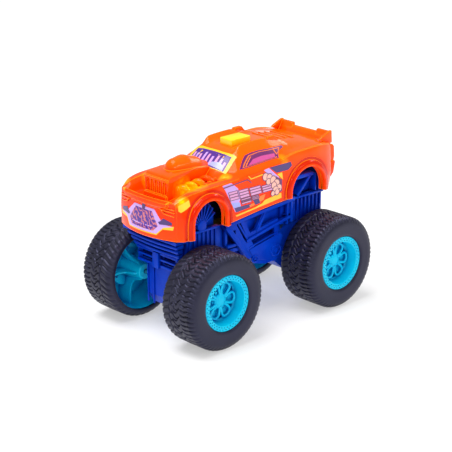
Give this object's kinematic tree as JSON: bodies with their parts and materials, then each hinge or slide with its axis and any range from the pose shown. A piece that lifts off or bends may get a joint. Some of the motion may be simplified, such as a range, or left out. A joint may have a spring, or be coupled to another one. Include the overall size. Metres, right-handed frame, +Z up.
{
  "type": "toy monster truck",
  "caption": "Battery toy monster truck: lit translucent muscle-car shell over a lattice chassis, hollow wheels on live axles, geared motor and roof push button.",
  "frame": {"origin": "on the ground, midway between the two axles and between the left and right wheels", "axes": "+Z up, -Y to the front of the truck, +X to its left side"},
  "size_m": [0.1232, 0.1912, 0.1346],
  "materials": {
    "shell_orange": "translucent fluorescent orange moulded styrene with a polished skin, lit from inside",
    "chassis_blue": "royal blue moulded ABS with a satin skin",
    "rim_cyan": "bright cyan moulded styrene",
    "tyre_vinyl": "charcoal soft vinyl with a moulded tread",
    "button_yellow": "opaque yellow moulded ABS",
    "foil_label": "printed foil label with geometric panels, no lettering",
    "steel": "plain bright steel",
    "brass": "sintered brass",
    "gear_nylon": "natural white nylon",
    "black_plastic": "black moulded plastic",
    "circuit_board": "green lacquered circuit board",
    "cell_jacket": "printed cell jacket, plain bands",
    "lamp_clear": "clear epoxy lamp"
  },
  "bodies": {
    "chassis": {"body_shell": "shell_orange", "rear_spoiler": "shell_orange", "door_label_left": "foil_label", "door_label_right": "foil_label", "windscreen_label": "foil_label", "grille_label": "foil_label", "button_spring": "steel", "switch_board": "circuit_board", "switch_board_screw_front": "steel", "switch_board_screw_rear": "steel", "roof_switch": "black_plastic", "lamp_front": "lamp_clear", "lamp_rear": "lamp_clear", "chassis_tub": "chassis_blue", "side_frame_left": "chassis_blue", "side_frame_right": "chassis_blue", "front_bulkhead": "chassis_blue", "front_axle_housing": "chassis_blue", "body_screw_front_left": "steel", "body_screw_front_right": "steel", "body_screw_rear_left": "steel", "body_screw_rear_right": "steel", "cell_1": "cell_jacket", "cell_2": "cell_jacket", "cell_3": "cell_jacket", "battery_contact_front": "steel", "battery_contact_rear": "steel", "speaker": "black_plastic", "control_board": "circuit_board", "power_switch_body": "black_plastic", "gearbox_case": "chassis_blue", "gearbox_cover": "chassis_blue", "gearbox_screw_1": "steel", "gearbox_screw_2": "steel", "motor": "steel", "gear_pin_1": "steel", "gear_pin_2": "steel", "bushing_front_left": "brass", "bushing_front_right": "brass", "bushing_rear_left": "brass", "bushing_rear_right": "brass"},
    "front_axle_set": {"front_axle": "steel", "rim_front_left": "rim_cyan", "rim_front_right": "rim_cyan", "tyre_front_left": "tyre_vinyl", "tyre_front_right": "tyre_vinyl"},
    "rear_axle_set": {"rear_axle": "steel", "axle_gear": "gear_nylon", "rim_rear_left": "rim_cyan", "rim_rear_right": "rim_cyan", "tyre_rear_left": "tyre_vinyl", "tyre_rear_right": "tyre_vinyl"},
    "motor_rotor": {"motor_shaft": "steel", "motor_pinion": "brass"},
    "compound_gear_1": {"compound_gear_1": "gear_nylon"},
    "compound_gear_2": {"compound_gear_2": "gear_nylon"},
    "roof_button": {"roof_button": "button_yellow"},
    "power_switch_knob": {"power_switch_knob": "black_plastic"},
    "battery_door": {"battery_door": "chassis_blue", "battery_door_screw": "steel"}
  },
  "joints": [
    {"name": "front_axle_spin", "type": "hinge", "parent": "chassis", "child": "front_axle_set", "pos_m": [0, -0.0596, 0.036], "axis": [1, 0, 0], "continuous": true},
    {"name": "rear_axle_spin", "type": "hinge", "parent": "chassis", "child": "rear_axle_set", "pos_m": [0, 0.0596, 0.036], "axis": [1, 0, 0], "continuous": true},
    {"name": "motor_spin", "type": "hinge", "parent": "chassis", "child": "motor_rotor", "pos_m": [0, 0.0418, 0.05282], "axis": [1, 0, 0], "continuous": true},
    {"name": "compound_gear_1_spin", "type": "hinge", "parent": "chassis", "child": "compound_gear_1", "pos_m": [0, 0.05447, 0.05104], "axis": [1, 0, 0], "continuous": true},
    {"name": "compound_gear_2_spin", "type": "hinge", "parent": "chassis", "child": "compound_gear_2", "pos_m": [0, 0.06788, 0.04875], "axis": [1, 0, 0], "continuous": true},
    {"name": "roof_button_press", "type": "slide", "parent": "chassis", "child": "roof_button", "axis": [0, 0, -1], "range_m": [0, 0.002], "stiffness_N_per_m": 400, "springref_m": -0.002, "deforming": ["button_spring"]},
    {"name": "power_switch_slide", "type": "slide", "parent": "chassis", "child": "power_switch_knob", "axis": [0, -1, 0], "range_m": [0, 0.004]},
    {"name": "battery_door_lift", "type": "slide", "parent": "chassis", "child": "battery_door", "axis": [0, 0, -1], "range_m": [0, 0.03]}
  ],
  "couplings": [
    {"joint": "compound_gear_2_spin", "follows": "rear_axle_spin", "ratio": -2.8},
    {"joint": "compound_gear_1_spin", "follows": "rear_axle_spin", "ratio": 6.72},
    {"joint": "motor_spin", "follows": "rear_axle_spin", "ratio": -20.16}
  ]
}
